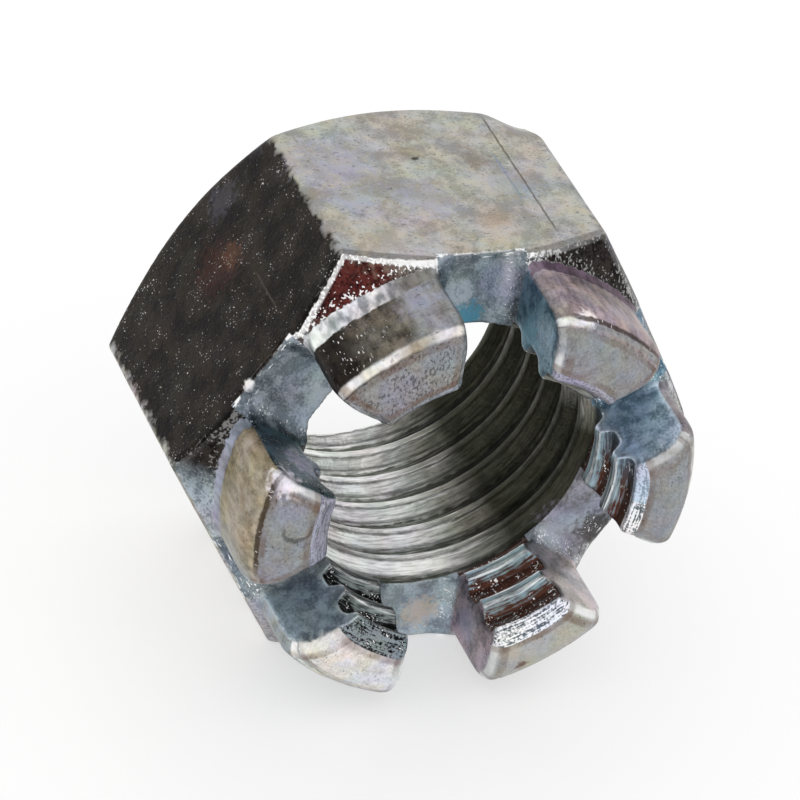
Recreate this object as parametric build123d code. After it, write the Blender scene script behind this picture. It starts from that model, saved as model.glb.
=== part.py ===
from build123d import *
import os
from math import hypot, radians, sqrt, tan

# Castle nut for a 1 inch coarse thread. All sizes are in millimetres.
# The nut lies on one of its hexagon flats: the thread axis runs along Y,
# the castellated crown faces -Y and the bearing face faces +Y.
# The origin is on the thread axis, halfway between the two ends.

# Hexagon
flats_width = 34.9            # across flats
long_edge_radius = 0.5        # rounding of the six long edges
bearing_circle = 34.4         # diameter of the flat bearing face
bearing_chamfer_angle = 40.0  # corner chamfer, measured from the bearing face
crown_corner_height = 17.0    # bearing face to the crown end of a long edge
crown_chamfer_angle = 37.0    # corner chamfer on the crown side

# Crown
nut_height = 26.6             # bearing face to the prong tips
crown_diameter = 34.5         # turned collar that the prongs are cut from
crown_root_radius = 1.4       # hollow between the corner chamfer and the collar
crown_tip_radius = 2.8        # turned rounding between the collar and the prong tips
slot_pairs = 3                # each pair is one cut from flat to opposite flat
slot_width = 6.6
slot_floor_height = 18.3      # bearing face to the slot floor
slot_corner_radius = 1.5      # rounded bottom corners of a slot
prong_edge_chamfer = 0.8      # along each slot wall, over the collar and the tip

# Bore at the minor diameter of the thread, countersunk at both ends
minor_diameter = 22.3
countersink_diameter = 25.7
countersink_angle = 120.0     # included

# Dependent sizes
corner_radius = flats_width / sqrt(3)
bearing_radius = bearing_circle / 2
bearing_chamfer_height = (corner_radius - bearing_radius) * tan(radians(bearing_chamfer_angle))
collar_radius = crown_diameter / 2
collar_foot_height = (
    crown_corner_height + (corner_radius - collar_radius) * tan(radians(crown_chamfer_angle))
)
bore_radius = minor_diameter / 2
countersink_radius = countersink_diameter / 2
countersink_slope = tan(radians(countersink_angle / 2))
countersink_depth = (countersink_radius - bore_radius) / countersink_slope
runout = 1.0                  # how far each cutter reaches past the faces it cuts


def turned_blank():
    """Solid of revolution: bearing face, corner chamfers, hollow root and collar."""
    with BuildSketch(Plane.XZ) as section:
        with BuildLine():
            Polyline(
                (0, 0),
                (bearing_radius, 0),
                (corner_radius, bearing_chamfer_height),
                (corner_radius, crown_corner_height),
                (collar_radius, collar_foot_height),
                (collar_radius, nut_height),
                (0, nut_height),
                close=True,
            )
        make_face()
        foot = section.vertices().sort_by_distance((collar_radius, collar_foot_height))[0]
        fillet(foot, crown_root_radius)
        tip = section.vertices().sort_by_distance((collar_radius, nut_height))[0]
        fillet(tip, crown_tip_radius)
    return revolve(section.sketch, Axis.Z)


def hexagon_bar():
    """Hexagon bar with its long edges rounded and two flats level."""
    bar = extrude(RegularPolygon(flats_width / 2, 6, major_radius=False), nut_height)
    return fillet(bar.edges().filter_by(Axis.Z), long_edge_radius)


def slot_cutter():
    """One cut with rounded bottom corners that makes two opposite slots."""
    length = 2 * (corner_radius + runout)
    profile = RectangleRounded(
        slot_width, 2 * (nut_height - slot_floor_height), slot_corner_radius
    )
    profile = Plane.XZ * Pos(0, nut_height) * profile
    return extrude(profile, length / 2, both=True)


def bore_cutter():
    """Bore with a countersink at each end."""
    mouth_radius = countersink_radius + runout * countersink_slope
    with BuildSketch(Plane.XZ) as section:
        with BuildLine():
            Polyline(
                (0, -runout),
                (mouth_radius, -runout),
                (countersink_radius, 0),
                (bore_radius, countersink_depth),
                (bore_radius, nut_height - countersink_depth),
                (countersink_radius, nut_height),
                (mouth_radius, nut_height + runout),
                (0, nut_height + runout),
                close=True,
            )
        make_face()
    return revolve(section.sketch, Axis.Z)


def slot_wall_edges(crown):
    """Outer and end edges of the slot walls, without the floor and the axis side."""
    wall_foot = slot_floor_height + slot_corner_radius
    faces = crown.faces().filter_by(GeomType.PLANE)
    walls = faces.filter_by(lambda face: face.center().Z > wall_foot)
    walls = walls.filter_by(lambda face: abs(face.normal_at().Z) < 0.5)
    edges = walls.edges().filter_by(lambda edge: edge.center().Z > wall_foot + 0.01)
    return edges.filter_by(lambda edge: reach(edge) > bore_radius)


def reach(edge):
    """Distance from the thread axis to the farther end of an edge."""
    return max(hypot(end.X, end.Y) for end in (edge @ 0, edge @ 1))


nut = turned_blank() & hexagon_bar()
for index in range(slot_pairs):
    nut -= Rot(0, 0, index * 180 / slot_pairs) * slot_cutter()
nut = chamfer(slot_wall_edges(nut), prong_edge_chamfer)
nut -= bore_cutter()

# Centre the nut on the origin and lay it down: its own axis turns from Z to -Y
castle_nut = Rot(90, 0, 0) * Pos(0, 0, -nut_height / 2) * nut
castle_nut.label = "castle_nut"

os.makedirs("parts", exist_ok=True)
export_step(castle_nut, "parts/castle_nut.step")
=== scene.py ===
"""Castle nut: the dressed model, its finish and its stage."""
import math

import bmesh
import bpy
import numpy as np
from mathutils import Matrix, Vector, noise


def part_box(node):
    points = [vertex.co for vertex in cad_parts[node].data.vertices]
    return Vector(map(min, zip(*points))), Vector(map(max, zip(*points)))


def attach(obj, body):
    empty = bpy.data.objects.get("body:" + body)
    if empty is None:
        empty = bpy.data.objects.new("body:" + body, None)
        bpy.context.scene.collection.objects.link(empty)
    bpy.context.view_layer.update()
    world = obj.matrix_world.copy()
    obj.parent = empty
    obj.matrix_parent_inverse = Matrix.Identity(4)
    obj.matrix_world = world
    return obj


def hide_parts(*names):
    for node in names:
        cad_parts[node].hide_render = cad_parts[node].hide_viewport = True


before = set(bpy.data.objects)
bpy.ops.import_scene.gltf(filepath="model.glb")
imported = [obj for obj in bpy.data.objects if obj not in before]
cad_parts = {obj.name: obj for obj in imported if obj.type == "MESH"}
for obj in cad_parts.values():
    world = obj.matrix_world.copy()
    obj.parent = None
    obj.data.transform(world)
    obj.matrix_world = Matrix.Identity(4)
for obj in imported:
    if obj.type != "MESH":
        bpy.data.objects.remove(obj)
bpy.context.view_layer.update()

bl_info = {
    "name": "Castle nut",
    "version": (1, 0, 0),
    "blender": (4, 5, 0),
    "location": "View3D > Sidebar > Castle nut",
    "description": "Threads, wears and stages the castle nut",
    "category": "Object",
}

MM = 0.001
NODE = "castle_nut"
LOW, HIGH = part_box(NODE)
CROWN_END = LOW[1]
BEARING_END = HIGH[1]
FLOOR_LEVEL = LOW[2]
WORN_CORNERS = (60,)  # degrees round the thread axis from +X

# Millimetres from here on; heights are taken from the bearing face
HEIGHT = (BEARING_END - CROWN_END) / MM
HALF_FLATS = HIGH[2] / MM
CORNER_RADIUS = HALF_FLATS / math.cos(math.radians(30))
CROWN_CHAMFER = 17.0
CROWN_SLOPE = math.tan(math.radians(53))
COLLAR_RADIUS = 17.25
TIP_ROUND = 2.8
SLOT_FLOOR = 18.3
SLOT_HALF = 3.3
MOUTH_RADIUS = 12.85
BORE_SKIN = 12.7
CROWN_SKIN = 12.5
CROWN_DEPTH = 8.6
TIP_DEPTH = 1.5
UNROLLED_TURN = 75
THREAD_PITCH = 3.175
THREAD_START = -1.77


class ThreadSizes(bpy.types.PropertyGroup):
    """Sizes of the internal thread."""

    pitch: bpy.props.FloatProperty(
        name="Pitch",
        description="Distance from one crest to the next",
        default=THREAD_PITCH * MM,
        unit="LENGTH",
    )
    bore_diameter: bpy.props.FloatProperty(
        name="Bore diameter",
        description="Diameter at the crests of the thread",
        default=22.3 * MM,
        unit="LENGTH",
    )
    crest_width: bpy.props.FloatProperty(
        name="Crest width",
        description="Width of the flat on each crest",
        default=0.8 * MM,
        unit="LENGTH",
    )
    flank_angle: bpy.props.FloatProperty(
        name="Flank angle",
        description="Angle between the two flanks of a groove",
        default=math.radians(60),
        subtype="ANGLE",
    )
    depth: bpy.props.FloatProperty(
        name="Depth",
        description="Depth of the groove below the crests",
        default=0.95 * MM,
        unit="LENGTH",
    )
    start: bpy.props.FloatProperty(
        name="Start",
        description="Height of the first crest over the bearing face, on the +X side",
        default=THREAD_START * MM,
        unit="LENGTH",
    )
    steps_per_turn: bpy.props.IntProperty(
        name="Steps per turn",
        description="Straight pieces in one turn of the groove",
        default=96,
    )


class BodySizes(bpy.types.PropertyGroup):
    """How finely the nut is meshed and how far its edges are worn round."""

    grain: bpy.props.FloatProperty(
        name="Grain",
        description="Edge length of the mesh before it is thinned",
        default=0.17 * MM,
        unit="LENGTH",
    )
    wear: bpy.props.IntProperty(
        name="Edge wear",
        description="Smoothing passes that round every edge",
        default=5,
    )
    crown_wear: bpy.props.IntProperty(
        name="Crown wear",
        description="More smoothing passes on the outside of the crown",
        default=10,
    )
    dents: bpy.props.FloatProperty(
        name="Dents",
        description="Depth of the forging dents",
        default=0.05 * MM,
        unit="LENGTH",
    )
    pits: bpy.props.FloatProperty(
        name="Pits",
        description="Depth of the pits in the prong ends",
        default=0.09 * MM,
        unit="LENGTH",
    )
    corner_wear: bpy.props.FloatProperty(
        name="Corner wear",
        description="How far the worn bearing corners are knocked back",
        default=1.0 * MM,
        unit="LENGTH",
    )
    corner_reach: bpy.props.FloatProperty(
        name="Corner reach",
        description="Distance over which a worn bearing corner is knocked back",
        default=3.6 * MM,
        unit="LENGTH",
    )
    triangles: bpy.props.IntProperty(
        name="Triangles",
        description="Most triangles that the finished nut has",
        default=190000,
    )


class StageSizes(bpy.types.PropertyGroup):
    """Floor and camera."""

    floor_size: bpy.props.FloatProperty(
        name="Floor size",
        description="Length of each side of the floor",
        default=3.0,
        unit="LENGTH",
    )
    camera_aim: bpy.props.FloatVectorProperty(
        name="Camera aim",
        description="Point that the camera looks at",
        default=(-1.0 * MM, 0.8 * MM, 0.4 * MM),
        size=3,
        subtype="TRANSLATION",
    )
    camera_distance: bpy.props.FloatProperty(
        name="Camera distance",
        description="From the aim to the camera",
        default=332 * MM,
        unit="LENGTH",
    )
    camera_turn: bpy.props.FloatProperty(
        name="Camera turn",
        description="How far the camera stands to the left of the thread axis",
        default=math.radians(27.1),
        subtype="ANGLE",
    )
    camera_rise: bpy.props.FloatProperty(
        name="Camera rise",
        description="How steeply the camera looks down",
        default=math.radians(35),
        subtype="ANGLE",
    )
    camera_roll: bpy.props.FloatProperty(
        name="Camera roll",
        description="Turn of the camera about its own line of sight",
        default=math.radians(11.2),
        subtype="ANGLE",
    )
    lens: bpy.props.FloatProperty(
        name="Lens",
        description="Focal length of the camera",
        default=206,
        unit="CAMERA",
    )


def new_object(name, mesh):
    """Link a mesh to the scene under a name."""
    piece = bpy.data.objects.new(name, mesh)
    bpy.context.scene.collection.objects.link(piece)
    return piece


def evaluated_mesh(piece):
    """Mesh of a piece with its modifiers applied."""
    depsgraph = bpy.context.evaluated_depsgraph_get()
    depsgraph.update()
    return bpy.data.meshes.new_from_object(piece.evaluated_get(depsgraph))


def apply_modifiers(piece):
    """Replace the mesh of a piece by the one its modifiers make."""
    made = evaluated_mesh(piece)
    piece.modifiers.clear()
    old = piece.data
    piece.data = made
    bpy.data.meshes.remove(old)


def thread_groove(sizes, height):
    """Helical cutter for the thread groove, with the axis along Z and z = 0 at the bearing face."""
    slope = math.tan(sizes.flank_angle / 2)
    bore = sizes.bore_diameter / 2
    mouth = (sizes.pitch - sizes.crest_width) / 2
    root = bore + sizes.depth
    root_half = mouth - sizes.depth * slope
    inner = bore - 0.5 * MM
    inner_half = mouth + (bore - inner) * slope
    turns = math.ceil((height + 2 * sizes.pitch) / sizes.pitch) + 1
    begin = sizes.start + sizes.pitch / 2 - 2 * sizes.pitch
    steps = turns * sizes.steps_per_turn
    bm = bmesh.new()
    profile = [
        (inner, begin - inner_half),
        (root, begin - root_half),
        (root, begin + root_half),
        (inner, begin + inner_half),
    ]
    corners = [bm.verts.new((r, 0, z)) for r, z in profile]
    rim = [bm.edges.new((corners[i], corners[(i + 1) % 4])) for i in range(4)]
    bmesh.ops.spin(
        bm,
        geom=corners + rim,
        cent=(0, 0, 0),
        axis=(0, 0, 1),
        dvec=(0, 0, sizes.pitch / sizes.steps_per_turn),
        angle=2 * math.pi * turns,
        steps=steps,
    )
    bmesh.ops.holes_fill(bm, edges=[e for e in bm.edges if e.is_boundary], sides=4)
    bmesh.ops.recalc_face_normals(bm, faces=bm.faces)
    mesh = bpy.data.meshes.new("thread_groove")
    bm.to_mesh(mesh)
    bm.free()
    lay_down = Matrix.Translation((0, BEARING_END, 0)) @ Matrix.Rotation(math.pi / 2, 4, "X")
    mesh.transform(lay_down)
    return new_object("thread_groove", mesh)


def merged_copy(node):
    """Closed copy of a CAD node's mesh under a new name."""
    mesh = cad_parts[node].data.copy()
    bm = bmesh.new()
    bm.from_mesh(mesh)
    bmesh.ops.remove_doubles(bm, verts=bm.verts, dist=1e-7)
    bm.to_mesh(mesh)
    bm.free()
    mesh.materials.clear()
    return new_object("worn_nut", mesh)


def weather(mesh, sizes):
    """Round the edges of the nut and dent its skin."""
    bm = bmesh.new()
    bm.from_mesh(mesh)
    crown = [
        v
        for v in bm.verts
        if v.co.y < CROWN_END + CROWN_DEPTH * MM and math.hypot(v.co.x, v.co.z) > CROWN_SKIN * MM
    ]
    for verts, passes in ((bm.verts[:], sizes.wear), (crown, sizes.crown_wear)):
        for _ in range(passes):
            bmesh.ops.smooth_vert(
                bm, verts=verts, factor=0.5, use_axis_x=True, use_axis_y=True, use_axis_z=True
            )
    bm.normal_update()
    for vert in bm.verts:
        vert.co += vert.normal * dent(vert.co, vert.normal, sizes)
    bm.to_mesh(mesh)
    bm.free()


def dent(place, normal, sizes):
    """Height of the skin over the true shape at one place."""
    radius = math.hypot(place.x, place.z)
    if radius < BORE_SKIN * MM:
        return 0.2 * sizes.dents * noise.noise(place / (1.5 * MM))
    height = -sum(knock(place, degrees, sizes) for degrees in WORN_CORNERS)
    height += sizes.dents * (noise.noise(place / (3.2 * MM)) - 1) / 2
    if place.y < CROWN_END + TIP_DEPTH * MM:
        rough = noise.noise(place / (0.55 * MM)) + 0.5 * noise.noise(place / (0.3 * MM))
        height -= sizes.pits * max(0.0, rough - 0.1)
    return height


def knock(place, degrees, sizes):
    """How far one worn bearing corner is knocked back at a place."""
    turn = math.radians(degrees)
    reach = HIGH[0]
    corner = Vector((reach * math.cos(turn), BEARING_END - 1.5 * MM, reach * math.sin(turn)))
    share = max(0.0, 1 - (place - corner).length / sizes.corner_reach)
    return sizes.corner_wear * share * share * (3 - 2 * share)


def mark_edges(mesh):
    """Store how far each vertex stands out of or lies in its neighbourhood."""
    count = len(mesh.vertices)
    place = np.empty(count * 3)
    mesh.vertices.foreach_get("co", place)
    place = place.reshape(-1, 3)
    normal = np.empty(count * 3)
    mesh.vertex_normals.foreach_get("vector", normal)
    normal = normal.reshape(-1, 3)
    ends = np.empty(len(mesh.edges) * 2, dtype=int)
    mesh.edges.foreach_get("vertices", ends)
    ends = ends.reshape(-1, 2)
    bulge = np.zeros(count)
    share = np.zeros(count)
    for here, there in (ends.T, ends.T[::-1]):
        step = place[here] - place[there]
        length = np.linalg.norm(step, axis=1)
        np.add.at(bulge, here, (step * normal[here]).sum(axis=1) / length)
        np.add.at(share, here, 1.0)
    bulge /= np.maximum(share, 1.0)
    attribute = mesh.attributes.new("bulge", "FLOAT", "POINT")
    attribute.data.foreach_set("value", bulge)


class NUT_OT_model(bpy.types.Operator):
    """Cut the thread into a copy of the nut and wear its edges round"""

    bl_idname = "castle_nut.model"
    bl_label = "Model the nut"

    def execute(self, context):
        thread = context.scene.nut_thread
        body = context.scene.nut_body
        nut = merged_copy(NODE)
        groove = thread_groove(thread, BEARING_END - CROWN_END)
        cut = nut.modifiers.new("thread", "BOOLEAN")
        cut.operation = "DIFFERENCE"
        cut.solver = "EXACT"
        cut.object = groove
        grain = nut.modifiers.new("grain", "REMESH")
        grain.mode = "VOXEL"
        grain.voxel_size = body.grain
        grain.use_smooth_shade = True
        apply_modifiers(nut)
        bpy.data.objects.remove(groove)
        weather(nut.data, body)
        thin = nut.modifiers.new("thin", "DECIMATE")
        thin.ratio = min(1.0, body.triangles / (2 * len(nut.data.polygons)))
        apply_modifiers(nut)
        mark_edges(nut.data)
        nut.data.shade_smooth()
        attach(nut, "root")
        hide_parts(NODE)
        return {"FINISHED"}


def tone(red, green, blue):
    """Linear colour from display values of 0 to 255."""
    return tuple(((c / 255 + 0.055) / 1.055) ** 2.4 for c in (red, green, blue)) + (1.0,)


class Field:
    """Output of a shader node, for use in expressions."""

    def __init__(self, socket):
        self.socket = socket

    def node(self, kind, settings, values, output=0):
        """Output of a new node with its settings made and its inputs given or linked."""
        tree = self.socket.id_data
        made = tree.nodes.new(kind)
        for name, value in settings.items():
            setattr(made, name, value)
        for key, value in values.items():
            if isinstance(value, Field):
                tree.links.new(value.socket, made.inputs[key])
            else:
                made.inputs[key].default_value = value
        return Field(made.outputs[output])

    def math(self, operation, *values):
        return self.node("ShaderNodeMath", {"operation": operation}, dict(enumerate(values)))

    def __add__(self, other):
        return self.math("ADD", self, other)

    def __sub__(self, other):
        return self.math("SUBTRACT", self, other)

    def __rsub__(self, other):
        return self.math("SUBTRACT", other, self)

    def __mul__(self, other):
        return self.math("MULTIPLY", self, other)

    def __truediv__(self, other):
        return self.math("DIVIDE", self, other)

    def __pow__(self, other):
        return self.math("POWER", self, other)

    def __abs__(self):
        return self.math("ABSOLUTE", self)

    __radd__ = __add__
    __rmul__ = __mul__

    def rise(self, low, high):
        """0 up to low, 1 from high on, with a smooth step between them."""
        settings = {"interpolation_type": "SMOOTHSTEP"}
        return self.node("ShaderNodeMapRange", settings, {"Value": self, 1: low, 2: high})

    def fall(self, low, high):
        """1 up to low, 0 from high on."""
        return 1 - self.rise(low, high)

    def near(self, middle, half):
        """1 at the middle value, 0 where it is half or more away."""
        return abs(self - middle).fall(0.4 * half, half)

    def scaled(self, along):
        """Vector with its parts multiplied by those of another."""
        settings = {"operation": "MULTIPLY"}
        return self.node("ShaderNodeVectorMath", settings, {0: self, 1: along})

    def gap(self, point):
        """Distance of this place from a point."""
        settings = {"operation": "DISTANCE"}
        return self.node("ShaderNodeVectorMath", settings, {0: self, 1: point}, output=1)

    def grain(self, size, detail=2.0, contrast=1.0):
        """Noise of 0 to 1 whose lumps are about this size."""
        values = {"Vector": self, "Scale": 1 / size, "Detail": detail}
        raw = self.node("ShaderNodeTexNoise", {"noise_type": "FBM"}, values)
        return raw.rise(0.5 - 0.25 / contrast, 0.5 + 0.25 / contrast)

    def hues(self, size, spread):
        """Faint colours round white that change over about this size."""
        values = {"Vector": self, "Scale": 1 / size, "Detail": 2.0}
        raw = self.node("ShaderNodeTexNoise", {"noise_type": "FBM"}, values, output=1)
        settings = {"operation": "MULTIPLY_ADD"}
        values = {0: raw, 1: (spread,) * 3, 2: (1 - spread / 2,) * 3}
        return self.node("ShaderNodeVectorMath", settings, values)

    def flecks(self, size, bias=0.0):
        """Scattered dots of about this size, sparse at bias 0 and closed up at bias 0.3."""
        values = {"Vector": self, "Scale": 1 / size, "Detail": 1.0}
        raw = self.node("ShaderNodeTexNoise", {"noise_type": "FBM"}, values)
        return (raw + bias).rise(0.66, 0.71)

    def over(self, top, mask):
        """This colour with another laid over it where the mask is 1."""
        settings = {"data_type": "RGBA"}
        return self.node("ShaderNodeMix", settings, {0: mask, 6: self, 7: top}, output=2)

    def lit(self, factor):
        """This colour made lighter or darker by a factor."""
        return self.node("ShaderNodeVectorMath", {"operation": "SCALE"}, {0: self, "Scale": factor})

    def level(self):
        """Brightness of this colour."""
        return self.node("ShaderNodeRGBToBW", {}, {0: self})

    def around(self, stops):
        """Colour by angle: this field is 0 to 1 for a full turn, and each stop is (degrees, colour)."""
        made = self.node("ShaderNodeValToRGB", {}, {0: self})
        elements = made.socket.node.color_ramp.elements
        elements.remove(elements[1])
        elements[0].position = stops[0][0] / 360
        elements[0].color = stops[0][1]
        for degrees, colour in stops[1:]:
            elements.new(degrees / 360).color = colour
        return made

    def finish(self, stops, mask):
        """Finish by angle, between its dark and its light shade by the mask; the finishes carry painted
        reflections.
        """
        dark = self.around([(degrees, tone(*PLATE_AND_REFLECTION_SHADES[name][0])) for degrees, name in stops])
        light = self.around([(degrees, tone(*PLATE_AND_REFLECTION_SHADES[name][1])) for degrees, name in stops])
        return dark.over(light, mask)


class Nut:
    """Where a shaded point lies on the nut, in millimetres and in turns round its axis.

    The height is taken from the bearing face. Across and side are measured square to the
    nearest flat and along it. The tilt grows from 0 to 90 degrees over the rounding that
    leads from the collar to the prong ends. The thread runs from 0 at one crest to 1 at the
    next one towards the crown.
    """

    def __init__(self, tree):
        coordinates = tree.nodes.new("ShaderNodeTexCoord")
        self.place = Field(coordinates.outputs["Object"]).scaled((1 / MM, 1 / MM, 1 / MM))
        x, y, z = (self.place.node("ShaderNodeSeparateXYZ", {}, {0: self.place}, k) for k in range(3))
        self.z = z
        self.height = BEARING_END / MM - y
        self.radius = (x * x + z * z) ** 0.5
        self.turn = z.math("ARCTAN2", z, x) / (2 * math.pi)
        self.turn = self.turn.math("FRACT", self.turn)
        fold = (self.turn * 6).math("FRACT", self.turn * 6)
        angle = (fold - 0.5) * math.radians(60)
        self.across = self.radius * angle.math("COSINE", angle)
        self.side = self.radius * angle.math("SINE", angle)
        over = self.height - (HEIGHT - TIP_ROUND)
        out = self.radius - (COLLAR_RADIUS - TIP_ROUND)
        self.tilt = over.math("ARCTAN2", over, out) * (180 / math.pi)
        lead = (self.height - THREAD_START) / THREAD_PITCH - self.turn
        self.thread = lead.math("FRACT", lead)
        unrolled = {0: self.turn * UNROLLED_TURN, 1: self.height, 2: self.radius}
        self.unrolled = self.place.node("ShaderNodeCombineXYZ", {}, unrolled)
        sawn = {0: self.side, 1: self.height, 2: self.across}
        self.sawn = self.place.node("ShaderNodeCombineXYZ", {}, sawn)
        self.coarse = self.place.grain(2.4)
        self.middle = self.place.grain(0.8, 3.0)
        self.fine = self.place.grain(0.2)
        self.jag = 0.2 * (self.place.grain(0.45) - 0.5)
        self.rings = self.unrolled.scaled((0.08, 1, 1)).grain(0.14, 3.0, 1.3)


def nut_point(degrees, out, side, height):
    """Point that lies out along a direction and to its side, at a height over the bearing face."""
    turn = Matrix.Rotation(-math.radians(degrees), 4, "Y")
    return tuple(turn @ Vector((out, BEARING_END / MM - height, side)))


def sectors(start, names):
    """Stops that give each of some equal sectors its own finish, counted from a start in degrees."""
    width = 360 / len(names)
    stops = []
    for k, name in enumerate(names):
        stops.append(((start + k * width + 0.5) % 360, name))
        stops.append(((start + (k + 1) * width - 0.5) % 360, name))
    return sorted(stops)


# Finishes of the old plate with the reflections of the surroundings painted in: dark shade, light shade
PLATE_AND_REFLECTION_SHADES = {
    "black": ((15, 10, 10), (50, 45, 40)),
    "soot": ((25, 20, 20), (90, 90, 85)),
    "smoke": ((50, 45, 40), (130, 125, 115)),
    "oxblood": ((45, 15, 15), (95, 45, 40)),
    "plum": ((55, 45, 50), (110, 90, 105)),
    "brown": ((55, 40, 30), (110, 90, 70)),
    "tan": ((110, 100, 80), (180, 170, 150)),
    "grey": ((105, 105, 105), (160, 160, 160)),
    "steel": ((120, 130, 135), (175, 185, 190)),
    "satin": ((150, 150, 145), (195, 195, 190)),
    "silver": ((105, 105, 105), (165, 170, 175)),
    "pale": ((160, 160, 150), (225, 225, 220)),
    "chalk": ((175, 180, 180), (250, 250, 250)),
    "glint": ((90, 100, 105), (250, 250, 250)),
    "shine": ((190, 190, 190), (250, 250, 250)),
    "slate": ((60, 65, 65), (130, 140, 140)),
    "petrol": ((40, 55, 60), (100, 125, 130)),
    "sea": ((80, 105, 120), (150, 180, 190)),
    "haze": ((95, 105, 110), (160, 170, 175)),
    "mist": ((130, 140, 145), (185, 200, 205)),
    "ice": ((150, 165, 175), (215, 230, 240)),
    "lavender": ((120, 120, 130), (170, 170, 185)),
    "rose": ((100, 90, 95), (185, 170, 175)),
    "pearl": ((150, 145, 140), (210, 200, 195)),
    "bore_in_shade": ((20, 20, 15), (60, 60, 50)),
    "worn": ((60, 60, 55), (150, 150, 140)),
    "bore_in_light": ((110, 115, 105), (250, 250, 250)),
    "spotted": ((15, 15, 15), (140, 150, 150)),
    "copper": ((80, 50, 40), (155, 180, 190)),
}
# Sector by sector: plate colours with the reflections of the surroundings painted in; the black flat from
# 120 to 180 degrees is a painted dark reflection
FLATS = sectors(0, ["silver", "satin", "black", "pale", "silver", "silver"])
ENDS = sectors(30, ["silver", "silver", "silver", "chalk", "satin", "silver"])
FLOORS = sectors(0, ["sea", "haze", "haze", "haze", "mist", "silver"])
WALLS = sectors(
    30,
    [
        "sea", "sea", "steel", "haze", "petrol", "mist",
        "mist", "steel", "rose", "pearl", "grey", "ice",
    ],
)
# Finish that changes round the nut, with painted reflections, highlights and shade: degrees from +X, finish
CONES = [
    (0, "grey"), (30, "slate"), (45, "black"), (75, "black"), (82, "slate"), (100, "chalk"),
    (108, "smoke"), (114, "oxblood"), (128, "oxblood"), (140, "soot"), (165, "black"),
    (177, "black"), (185, "steel"), (205, "steel"), (240, "grey"), (330, "grey"),
]
HOLLOWS = [
    (0, "grey"), (40, "plum"), (75, "plum"), (82, "rose"), (100, "grey"), (110, "smoke"),
    (118, "glint"), (140, "glint"), (160, "slate"), (170, "lavender"), (190, "lavender"),
    (200, "steel"), (300, "grey"),
]
COLLARS = [
    (0, "grey"), (40, "rose"), (75, "rose"), (82, "silver"), (100, "silver"), (112, "silver"),
    (116, "smoke"), (124, "smoke"), (130, "black"), (140, "black"), (160, "tan"), (185, "tan"),
    (200, "steel"), (300, "grey"),
]
# The shine on the rounding of the prong tips is a painted highlight
TIPS = [
    (0, "pale"), (38, "silver"), (68, "grey"), (74, "shine"), (106, "shine"), (116, "tan"),
    (121, "shine"), (134, "shine"), (139, "brown"), (160, "shine"), (165, "tan"), (190, "tan"),
    (200, "silver"), (220, "shine"), (232, "pale"), (300, "silver"),
]
# The bore is a painted reflection: light from 150 to 276 degrees, in shade from 310 to 12 degrees
BORE = [
    (0, "bore_in_shade"), (12, "worn"), (60, "worn"), (150, "bore_in_light"), (276, "bore_in_light"),
    (294, "worn"), (310, "bore_in_shade"), (345, "bore_in_shade"),
]
INSIDES = [
    (0, "copper"), (20, "sea"), (60, "worn"), (225, "spotted"), (255, "spotted"), (285, "copper"),
    (315, "copper"), (345, "copper"),
]
MOUTH = [
    (0, "ice"), (40, "lavender"), (80, "lavender"), (100, "steel"), (140, "smoke"), (160, "lavender"),
    (200, "lavender"), (221, "spotted"), (259, "spotted"), (281, "glint"), (320, "glint"),
]
# Light that the border of the flats catches: degrees from +X, strength
BORDERS = [(40, 0.2), (60, 0.1), (74, 0.25), (82, 0.9), (100, 1.0), (140, 0.8), (146, 0.0), (240, 0.1)]
# White of the painted highlights and glints
HIGHLIGHT_WHITE = (250, 250, 250)
RUST = (100, 70, 50)
MIST = (165, 170, 190)
SAND = (205, 190, 170)
LILAC = (170, 170, 190)
TEAL = (60, 125, 145)
SOOT = (55, 50, 45)
UMBER = (50, 35, 25)
OXBLOOD = (60, 35, 30)
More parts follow.
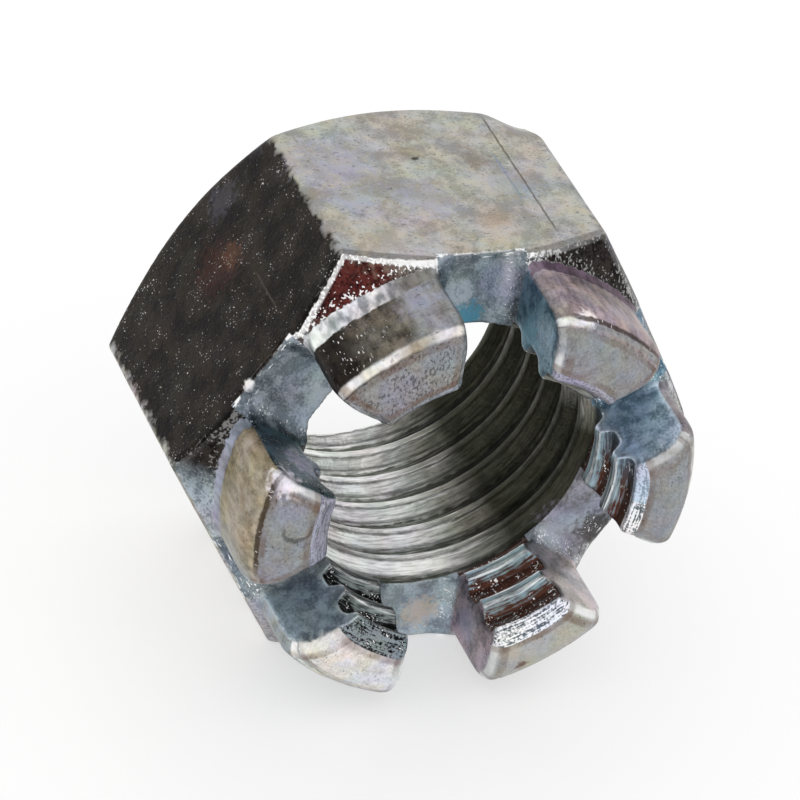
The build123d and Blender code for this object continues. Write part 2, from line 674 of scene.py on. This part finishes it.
# Marks, the white ones painted highlights and the others stains and tints: degrees of the flat, slot or
# prong, out from the axis, to its side, height, size, colour, strength
MARKS = [
    (90, 17.5, 6.5, 6.5, 4.0, MIST, 0.5),
    (90, 17.5, 7.0, 11.0, 2.5, MIST, 0.5),
    (90, 17.5, 1.5, 11.5, 3.0, MIST, 0.5),
    (90, 17.5, -5.5, 10.5, 2.5, MIST, 0.5),
    (90, 17.5, 6.5, 16.0, 3.5, SAND, 0.25),
    (90, 17.5, -2.0, 16.0, 3.0, SAND, 0.25),
    (90, 17.5, 0.0, 5.5, 1.5, RUST, 0.3),
    (90, 17.5, -4.0, 7.0, 2.0, RUST, 0.25),
    (90, 17.5, 0.5, 6.5, 0.4, SOOT, 0.9),
    (150, 17.5, -1.0, 7.0, 3.0, OXBLOOD, 0.7),
    (150, 17.5, -2.5, 7.5, 1.5, RUST, 0.5),
    (150, 17.5, -9.0, 1.0, 2.0, MIST, 0.1),
    (120, 16.5, -3.0, 22.0, 2.0, MIST, 0.5),
    (150, 17.5, -4.0, 2.5, 2.0, MIST, 0.1),
    (90, 15.0, -2.0, SLOT_FLOOR, 2.5, LILAC, 0.4),
    (90, 12.0, 0.0, SLOT_FLOOR, 1.5, TEAL, 0.8),
    (90, 12.5, -SLOT_HALF, 21.5, 2.0, TEAL, 0.6),
    (150, 12.5, SLOT_HALF, 22.5, 2.0, LILAC, 0.8),
    (330, 14.5, -1.0, SLOT_FLOOR, 3.0, LILAC, 0.35),
    (330, 16.5, -0.5, SLOT_FLOOR, 2.5, SOOT, 0.8),
    (270, 15.0, 1.0, SLOT_FLOOR, 2.0, SAND, 0.7),
    (270, 14.0, SLOT_HALF, 21.5, 2.0, LILAC, 0.6),
    (300, 15.0, -2.0, HEIGHT, 0.7, RUST, 0.8),
    (60, 16.5, 3.0, 25.0, 1.0, HIGHLIGHT_WHITE, 0.9),
    (180, 15.0, -4.5, 25.5, 1.6, HIGHLIGHT_WHITE, 1.0),
    (150, 17.5, 1.5, SLOT_FLOOR, 0.7, HIGHLIGHT_WHITE, 0.9),
]
# Scores along the thread axis: degrees of the flat, place to its side, from, to, colour
SCORES = [
    (90, -6.5, 1.5, 17.0, (105, 100, 90)),
    (90, -5.5, 6.0, 13.0, (140, 150, 170)),
    (150, -3.5, 10.5, 15.5, (70, 65, 60)),
]
# Dark ridges round the outside of a prong: degrees of the prong, tilt at which they lie
RIDGES = [(177, 42), (60, 27)]
COOL_TINT = (0.97, 0.97, 1.06)
WARM_TINT = (1.04, 0.98, 0.86)


def zone_masks(nut):
    """Where each zone of the nut lies."""
    height = nut.height + nut.jag
    hollow = height - 0.7 * nut.turn.near(130 / 360, 30 / 360)
    lip = SLOT_FLOOR - 0.1
    slot = abs(nut.side).fall(SLOT_HALF + 0.06, SLOT_HALF + 0.14) * nut.height.rise(lip - 0.05, lip + 0.05)
    inside = nut.radius.fall(MOUTH_RADIUS - 0.05, MOUTH_RADIUS + 0.05)
    skin = (1 - slot) * (1 - inside)
    sides = (nut.across + 0.5 * nut.jag).rise(HALF_FLATS - 0.23, HALF_FLATS - 0.15)
    sides = sides + nut.height.fall(15.8, 16.0)
    flat = skin * sides.math("MINIMUM", sides, 1) * nut.height.rise(0.1, 0.3)
    turned = skin * (1 - flat)
    end = nut.height.rise(23.9, 24.0) * (nut.tilt + 15 * nut.jag).rise(45, 47)
    mouth = inside * nut.height.rise(HEIGHT - 1.2, HEIGHT - 1.05)
    bore = inside * (1 - slot) * (1 - mouth)
    return {
        "base": turned * nut.height.fall(4.0, 4.2),
        "cone": turned * nut.height.rise(4.0, 4.2) * height.fall(19.1, 19.2),
        "hollow": turned * height.rise(19.1, 19.2) * hollow.fall(19.9, 20.1),
        "collar": turned * hollow.rise(19.9, 20.1) * (1 - end),
        "tip": turned * height.rise(19.9, 20.1) * (1 - end) * (nut.tilt + 7 * nut.jag).near(36, 10),
        "end": turned * end,
        "flat": flat,
        "bore": bore,
        "inside": bore * nut.height.rise(18.2, 18.6),
        "mouth": mouth * (1 - slot),
        "floor": slot * nut.height.fall(19.0, 19.5),
        "wall": slot * nut.height.rise(19.0, 19.5),
    }


def plated(nut, zone):
    """The plate in each zone, with the reflections of the surroundings and the shade of the thread roots
    painted in, so that it changes round the nut.
    """
    mottle = (0.45 * nut.coarse + 0.35 * nut.middle + 0.2 * nut.fine).rise(0.2, 0.8)
    soft = 0.25 + 0.35 * nut.middle + 0.35 * nut.fine
    grit = (0.6 * nut.middle + 0.4 * nut.fine).rise(0.15, 0.75)
    draws = nut.unrolled.scaled((1, 0.25, 1)).grain(0.4, 3.0, 1.3)
    # The thread roots are darkened: painted shade, brown in the insides
    root = (nut.thread + 0.08 * nut.middle).near(0.6, 0.22)
    rings_and_root_shade = 0.5 + 0.7 * nut.rings - 0.85 * root
    shaded_brown_root = (nut.thread + 0.1 * nut.middle).near(0.55, 0.4)
    layers = (
        ("base", [(0, "silver")], soft),
        ("cone", CONES, grit),
        ("hollow", HOLLOWS, 0.25 + 0.75 * draws),
        ("collar", COLLARS, 0.5 * draws + 0.5 * mottle),
        ("tip", TIPS, 0.4 + 0.6 * draws),
        ("end", ENDS, soft),
        ("bore", BORE, rings_and_root_shade),
        ("inside", INSIDES, 0.35 + 0.9 * nut.rings - shaded_brown_root),
        ("mouth", MOUTH, (0.5 * nut.rings + 0.5 * nut.fine).rise(0.25, 0.65)),
        ("wall", WALLS, mottle),
        ("floor", FLOORS, mottle),
    )
    # Only the flats from 60 to 240 degrees are mottled
    plain = nut.turn.rise(0.66, 0.67) + nut.turn.fall(0.165, 0.168)
    flats = mottle + plain * (soft - mottle)
    colour = (nut.turn + 0.006 * (nut.middle - 0.5)).finish(FLATS, flats)
    for name, stops, mask in layers:
        colour = colour.over(nut.turn.finish(stops, mask), zone[name])
    return colour


def marked(colour, nut):
    """The colour with the marks and the scores laid over it; the white marks are painted highlights."""
    for *spot, size, shade, strength in MARKS:
        reach = (nut.place.gap(nut_point(*spot)) + 3 * size * nut.jag).fall(0.3 * size, size)
        colour = colour.over(tone(*shade), strength * reach)
    for degrees, side, start, end, shade in SCORES:
        reach = nut.height.rise(start, start + 1) * nut.height.fall(end - 1, end)
        line = (nut.side + 0.3 * nut.jag).near(side, 0.12) * reach
        sector = abs(nut.turn * 360 - degrees).fall(28, 32)
        colour = colour.over(tone(*shade), 0.8 * line * sector)
    return colour


def tinted(colour, nut, zone):
    """The colour with faint rainbow, cool and warm patches."""
    colour = colour.scaled(nut.place.hues(3.0, 0.22))
    cool = nut.place.scaled((1, 1, -1)).grain(3.2, 2.0, 1.8)
    colour = colour.over(colour.scaled(COOL_TINT), cool * (1 - zone["bore"]))
    warm = nut.place.scaled((-1, 1, 1)).grain(1.5, 2.0, 1.8)
    return colour.over(colour.scaled(WARM_TINT), warm * (zone["flat"] + zone["end"] + zone["collar"]))


def pitted(colour, nut, zone):
    """The colour with specks of dirt, pits in the prong ends and one crescent-shaped nick."""
    specks = nut.place.scaled((0.6, 1.0, 0.6)).flecks(0.26, 0.05 * nut.coarse - 0.03)
    colour = colour.over(colour.lit(0.4), 0.6 * specks * (zone["flat"] + zone["collar"]))
    rough_end = abs(nut.turn - 120 / 360).fall(0.05, 0.08)
    pits = nut.place.scaled((1.0, 1.0, 0.5)).flecks(0.17, 0.1 * nut.coarse + 0.11 * rough_end - 0.07)
    colour = colour.over(colour.lit(0.35), 0.8 * pits * zone["end"])
    dent = nut.place.gap(nut_point(180, 14, -1, HEIGHT)) + nut.jag
    crescent = dent.near(1.1, 0.25) * nut.z.fall(0.5, 1.5)
    return colour.over(colour.lit(0.35), 0.8 * crescent * zone["end"])


def edged(colour, nut, zone):
    """The colour with the flats darker along their crown edge, painted highlights along the edges of the
    prongs and the thread crests, and the rims and ridges of the prong ends drawn.
    """
    chamfer = CORNER_RADIUS - CROWN_SLOPE * (nut.height - CROWN_CHAMFER) - nut.radius
    crown_edge = chamfer.near(0.25, 0.4) * zone["flat"] * (0.4 + 0.5 * nut.coarse)
    colour = colour.over(colour.lit(0.4), crown_edge)
    wall_gap = abs(nut.side) - SLOT_HALF
    brink = (zone["end"] + zone["tip"]) * nut.height.rise(24.5, 25.0) * nut.coarse
    # Painted highlight in white next to each slot wall along the rounded edge of the prong end, with a
    # rust-brown line further in
    colour = colour.over(tone(*RUST), 0.6 * wall_gap.near(0.95, 0.4) * brink)
    colour = colour.over(tone(*HIGHLIGHT_WHITE), 0.8 * wall_gap.near(0.25, 0.35) * brink)
    for degrees, tilt in RIDGES:
        ridge = (nut.tilt + 12 * nut.jag).near(tilt, 6) * abs(nut.turn - degrees / 360).fall(0.03, 0.05)
        colour = colour.over(tone(*UMBER), 0.85 * ridge * (zone["collar"] + zone["end"]))
    rims = nut.tilt.near(50, 8) + nut.radius.near(13.0, 0.5)
    colour = colour.over(tone(*RUST), 0.65 * rims * zone["end"] * nut.coarse)
    # Painted highlight in white along the edges of the thread crests
    crest_edges = nut.thread.near(0.1, 0.07) + nut.thread.near(0.88, 0.07)
    caught = crest_edges * colour.level().rise(0.05, 0.3) + 0.6 * crest_edges * zone["inside"]
    return colour.over(tone(*HIGHLIGHT_WHITE), 0.6 * caught * nut.rings * zone["bore"])


def sparkling(colour, nut, zone):
    """The colour with painted glints in white: the glitter of the bare crystals on the cones, flats, slots
    and bore, the lit border of the flats, and streaks on the collars and slot floors.
    """
    caught = nut.turn.around([(degrees, (level,) * 3 + (1.0,)) for degrees, level in BORDERS]).level()
    rim = nut.across.rise(16.7, 17.2) + 0.8 * nut.height.rise(18.2, 18.8)
    clusters = nut.place.grain(1.1, 2.0, 1.5)
    streaks = nut.unrolled.scaled((1, 0.55, 0.55))
    glitter = streaks.flecks(0.13, 0.14 * rim + 0.1 * clusters - 0.08) * (0.15 + 0.85 * caught)
    border = nut.across.near(HALF_FLATS - 0.3, 0.24) * caught * (0.5 + 0.5 * nut.middle)
    sparkle = (glitter + border) * zone["cone"]
    sparkle += nut.across.near(HALF_FLATS - 0.07, 0.18) * zone["floor"] * nut.middle.rise(0.4, 0.6)
    glint_zones = zone["wall"] + zone["floor"] + zone["mouth"] + zone["inside"]
    dark = colour.level().fall(0.06, 0.15)
    sparkle += nut.place.flecks(0.16, 0.1 * nut.middle) * glint_zones * clusters.rise(0.4, 0.8) * dark
    sparkle += 0.6 * nut.place.flecks(0.15, 0.14 * clusters * nut.coarse - 0.1) * zone["flat"] * dark
    scratch_glints = nut.unrolled.scaled((1, 0.2, 0.2)).flecks(0.1, 0.14 * clusters - 0.09)
    sparkle += scratch_glints * zone["collar"] * dark * nut.coarse
    cut_glints = nut.sawn.scaled((0.15, 1, 1)).flecks(0.12, 0.16 * clusters * nut.coarse - 0.03)
    corner = abs(nut.side).near(SLOT_HALF, 1.2) + nut.across.near(HALF_FLATS, 1.5)
    sparkle += 0.9 * cut_glints * corner * zone["floor"]
    return colour.over(tone(*HIGHLIGHT_WHITE), sparkle)


def paint_zinc_and_light(tree):
    """Colour, roughness and relief of the worn zinc plate; the colour has reflections, highlights and shade
    painted in.
    """
    nut = Nut(tree)
    zone = zone_masks(nut)
    colour = marked(plated(nut, zone), nut)
    colour = pitted(tinted(colour, nut, zone), nut, zone)
    colour = sparkling(edged(colour, nut, zone), nut, zone)
    bulge = Field(tree.nodes.new("ShaderNodeAttribute").outputs["Fac"])
    bulge.socket.node.attribute_name = "bulge"
    # White on the convex edges: painted highlight, and bright metal where the plate is worn
    worn = bulge.rise(0.06, 0.2) * nut.middle * (1 - zone["bore"])
    colour = colour.over(tone(*HIGHLIGHT_WHITE), 0.6 * worn)
    # Concave places are darkened by up to half: painted shade
    colour = colour.lit(1 - 0.5 * bulge.fall(-0.25, -0.06))
    rough = 0.3 + 0.2 * nut.middle + 0.1 * zone["flat"]
    relief = 0.5 * nut.fine + nut.middle
    return colour, rough, relief


class NUT_OT_finish(bpy.types.Operator):
    """Give the nut its worn zinc finish, with reflections, highlights and shade painted into its colour"""

    bl_idname = "castle_nut.finish"
    bl_label = "Finish the nut"

    def execute(self, context):
        nut = bpy.data.objects["worn_nut"]
        finish = bpy.data.materials.new("worn_zinc_and_painted_light")
        finish.use_nodes = True
        tree = finish.node_tree
        shader = tree.nodes["Principled BSDF"]
        colour, rough, relief = paint_zinc_and_light(tree)
        shader.inputs["Metallic"].default_value = 0.9
        tree.links.new(colour.socket, shader.inputs["Base Color"])
        tree.links.new(rough.socket, shader.inputs["Roughness"])
        bump = relief.node("ShaderNodeBump", {}, {"Strength": 0.35, "Distance": 0.05 * MM, "Height": relief})
        tree.links.new(bump.socket, shader.inputs["Normal"])
        nut.data.materials.clear()
        nut.data.materials.append(finish)
        return {"FINISHED"}


class NUT_OT_stage(bpy.types.Operator):
    """Lay the floor, place the camera and light the world"""

    bl_idname = "castle_nut.stage"
    bl_label = "Stage the nut"

    def execute(self, context):
        sizes = context.scene.nut_stage
        bm = bmesh.new()
        bmesh.ops.create_grid(bm, x_segments=1, y_segments=1, size=sizes.floor_size / 2)
        mesh = bpy.data.meshes.new("floor")
        bm.to_mesh(mesh)
        bm.free()
        mesh.transform(Matrix.Translation((0, 0, FLOOR_LEVEL)))
        floor = new_object("floor", mesh)
        paint = bpy.data.materials.new("pale_floor")
        paint.use_nodes = True
        shader = paint.node_tree.nodes["Principled BSDF"]
        shader.inputs["Base Color"].default_value = (0.45, 0.45, 0.45, 1)
        shader.inputs["Emission Color"].default_value = (1, 1, 1, 1)
        shader.inputs["Emission Strength"].default_value = 0.54
        floor.data.materials.append(paint)
        place_camera(sizes)
        world = bpy.data.worlds.new("studio")
        world.use_nodes = True
        world.node_tree.nodes["Background"].inputs["Color"].default_value = (1, 1, 1, 1)
        world.node_tree.nodes["Background"].inputs["Strength"].default_value = 1.0
        context.scene.world = world
        context.scene.view_settings.view_transform = "Standard"
        return {"FINISHED"}


def place_camera(sizes):
    """Camera that looks down on the crown from the front left."""
    camera = bpy.data.objects.new("camera", bpy.data.cameras.new("camera"))
    bpy.context.scene.collection.objects.link(camera)
    camera.data.lens = sizes.lens
    camera.data.sensor_width = 36
    camera.data.clip_end = 10
    camera.matrix_world = (
        Matrix.Translation(sizes.camera_aim)
        @ Matrix.Rotation(-sizes.camera_turn, 4, "Z")
        @ Matrix.Rotation(math.pi / 2 - sizes.camera_rise, 4, "X")
        @ Matrix.Rotation(sizes.camera_roll, 4, "Z")
        @ Matrix.Translation((0, 0, sizes.camera_distance))
    )
    bpy.context.scene.camera = camera


class NUT_PT_panel(bpy.types.Panel):
    """Buttons and sizes of the castle nut"""

    bl_label = "Castle nut"
    bl_idname = "NUT_PT_panel"
    bl_space_type = "VIEW_3D"
    bl_region_type = "UI"
    bl_category = "Castle nut"

    def draw(self, context):
        for maker in MAKERS:
            self.layout.operator(maker.bl_idname)


MAKERS = (NUT_OT_model, NUT_OT_finish, NUT_OT_stage)
GROUPS = {"nut_thread": ThreadSizes, "nut_body": BodySizes, "nut_stage": StageSizes}


def register():
    for group in GROUPS.values():
        bpy.utils.register_class(group)
    for maker in MAKERS:
        bpy.utils.register_class(maker)
    bpy.utils.register_class(NUT_PT_panel)
    for name, group in GROUPS.items():
        setattr(bpy.types.Scene, name, bpy.props.PointerProperty(type=group))


def unregister():
    for name in GROUPS:
        delattr(bpy.types.Scene, name)
    bpy.utils.unregister_class(NUT_PT_panel)
    for maker in reversed(MAKERS):
        bpy.utils.unregister_class(maker)
    for group in reversed(GROUPS.values()):
        bpy.utils.unregister_class(group)


def main():
    register()
    bpy.ops.castle_nut.model()
    bpy.ops.castle_nut.finish()
    bpy.ops.castle_nut.stage()


if __name__ == "__main__":
    main()
